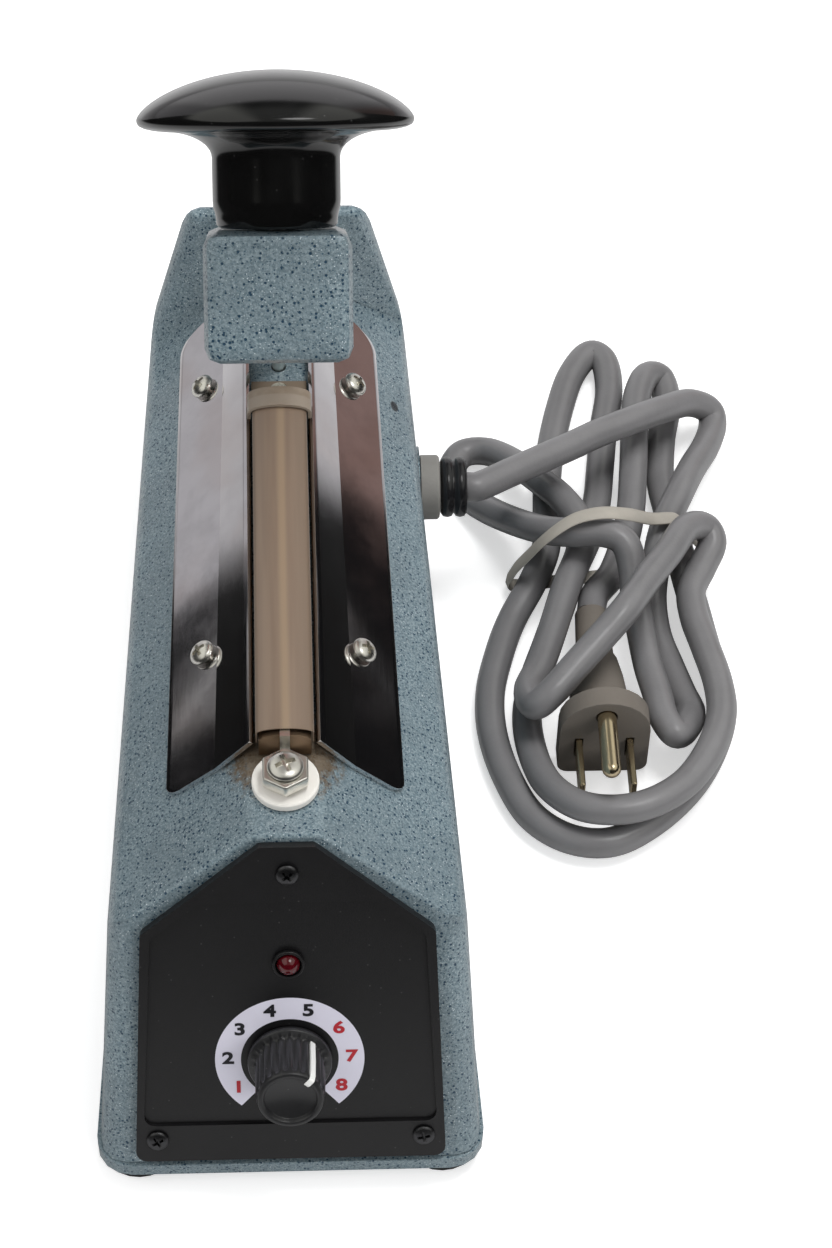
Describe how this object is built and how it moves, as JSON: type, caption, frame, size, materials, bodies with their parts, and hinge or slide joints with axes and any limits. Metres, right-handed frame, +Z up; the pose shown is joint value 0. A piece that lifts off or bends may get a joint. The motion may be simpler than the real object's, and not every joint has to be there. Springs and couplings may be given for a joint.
{
  "type": "impulse sealer",
  "caption": "Hand impulse bag sealer: a lever arm with a round knob presses a padded strip on a heated jaw, with a timer dial, a lamp and a mains cord.",
  "frame": {"origin": "on the counter under the middle of the sealer's box, timer knob included and cord left out", "axes": "+Z up, +Y towards the hinge at the rear, -Y towards the control panel, +X towards the cord outlet"},
  "size_m": [0.1649, 0.2645, 0.2515],
  "materials": {
    "hammer_paint": "blue-grey hammer-finish enamel over die-cast aluminium",
    "chrome": "polished chrome plate",
    "nickel": "nickel plate",
    "steel": "zinc-plated steel",
    "brass": "bare brass",
    "bronze": "brown lacquered strip",
    "copper": "enamelled copper wire",
    "aluminium": "plain aluminium",
    "black_gloss": "glossy black",
    "panel_black": "satin black",
    "rubber": "black rubber",
    "silicone": "red silicone rubber",
    "ptfe_cloth": "tan PTFE-coated glass cloth",
    "white_insulator": "white insulating resin",
    "red_lens": "red lens",
    "board_green": "green circuit board",
    "cord_grey": "grey PVC",
    "gland_grey": "warm grey nylon",
    "tie_grey": "beige grey plastic"
  },
  "bodies": {
    "housing": {"base_plate": "hammer_paint", "body_casting": "hammer_paint", "circuit_board": "board_green", "control_panel": "panel_black", "cord_gland": "gland_grey", "cord_hank": "cord_grey", "cord_lead": "cord_grey", "cord_tail": "cord_grey", "cord_tie": "tie_grey", "foot_front_left": "rubber", "foot_front_right": "rubber", "foot_rear_left": "rubber", "foot_rear_right": "rubber", "foot_screw_front_left": "steel", "foot_screw_front_right": "steel", "foot_screw_rear_left": "steel", "foot_screw_rear_right": "steel", "gland_ring": "black_gloss", "heating_element": "nickel", "hinge_pin": "steel", "indicator_lamp": "red_lens", "jaw_bar": "brass", "lamp_bezel": "panel_black", "microswitch": "panel_black", "panel_screw_left": "steel", "panel_screw_right": "steel", "panel_screw_top": "steel", "plate_screw_front_left": "nickel", "plate_screw_front_right": "nickel", "plate_screw_rear_left": "nickel", "plate_screw_rear_right": "nickel", "plug_blade_left": "brass", "plug_blade_right": "brass", "plug_body": "cord_grey", "plug_ground_pin": "brass", "potentiometer": "steel", "ptfe_cover": "ptfe_cloth", "rear_clamp": "chrome", "rear_insulator": "bronze", "rear_terminal_screw": "nickel", "relay": "panel_black", "return_spring": "steel", "side_plate_left": "chrome", "side_plate_right": "chrome", "terminal_nut": "nickel", "terminal_screw": "nickel", "terminal_washer": "white_insulator", "transformer_coil": "copper", "transformer_core": "steel", "transformer_strap": "aluminium"},
    "arm": {"lever_arm": "hammer_paint", "pad_holder": "aluminium", "holder_screw_front": "steel", "holder_screw_rear": "steel", "silicone_pad": "silicone", "handle_knob": "black_gloss", "knob_bolt": "steel"},
    "timer": {"timer_knob": "black_gloss", "potentiometer_shaft": "aluminium"},
    "rod": {"push_rod": "nickel"}
  },
  "joints": [
    {"name": "arm_hinge", "type": "hinge", "parent": "housing", "child": "arm", "pos_m": [0, 0.09468, 0.0918], "axis": [1, 0, 0], "range_deg": [0, 34.6], "stiffness_Nm_per_rad": 1.2, "springref_deg": -37.24, "deforming": ["return_spring"]},
    {"name": "timer_turn", "type": "hinge", "parent": "housing", "child": "timer", "pos_m": [0, -0.10987, 0.0353], "axis": [0, -0.9278, 0.373], "range_deg": [-94, 176]},
    {"name": "rod_press", "type": "slide", "parent": "housing", "child": "rod", "axis": [0, 0, 1], "range_m": [-0.0018, 0]}
  ],
  "couplings": [
    {"joint": "rod_press", "follows": "arm_hinge", "m_per_rad": -0.00298}
  ]
}
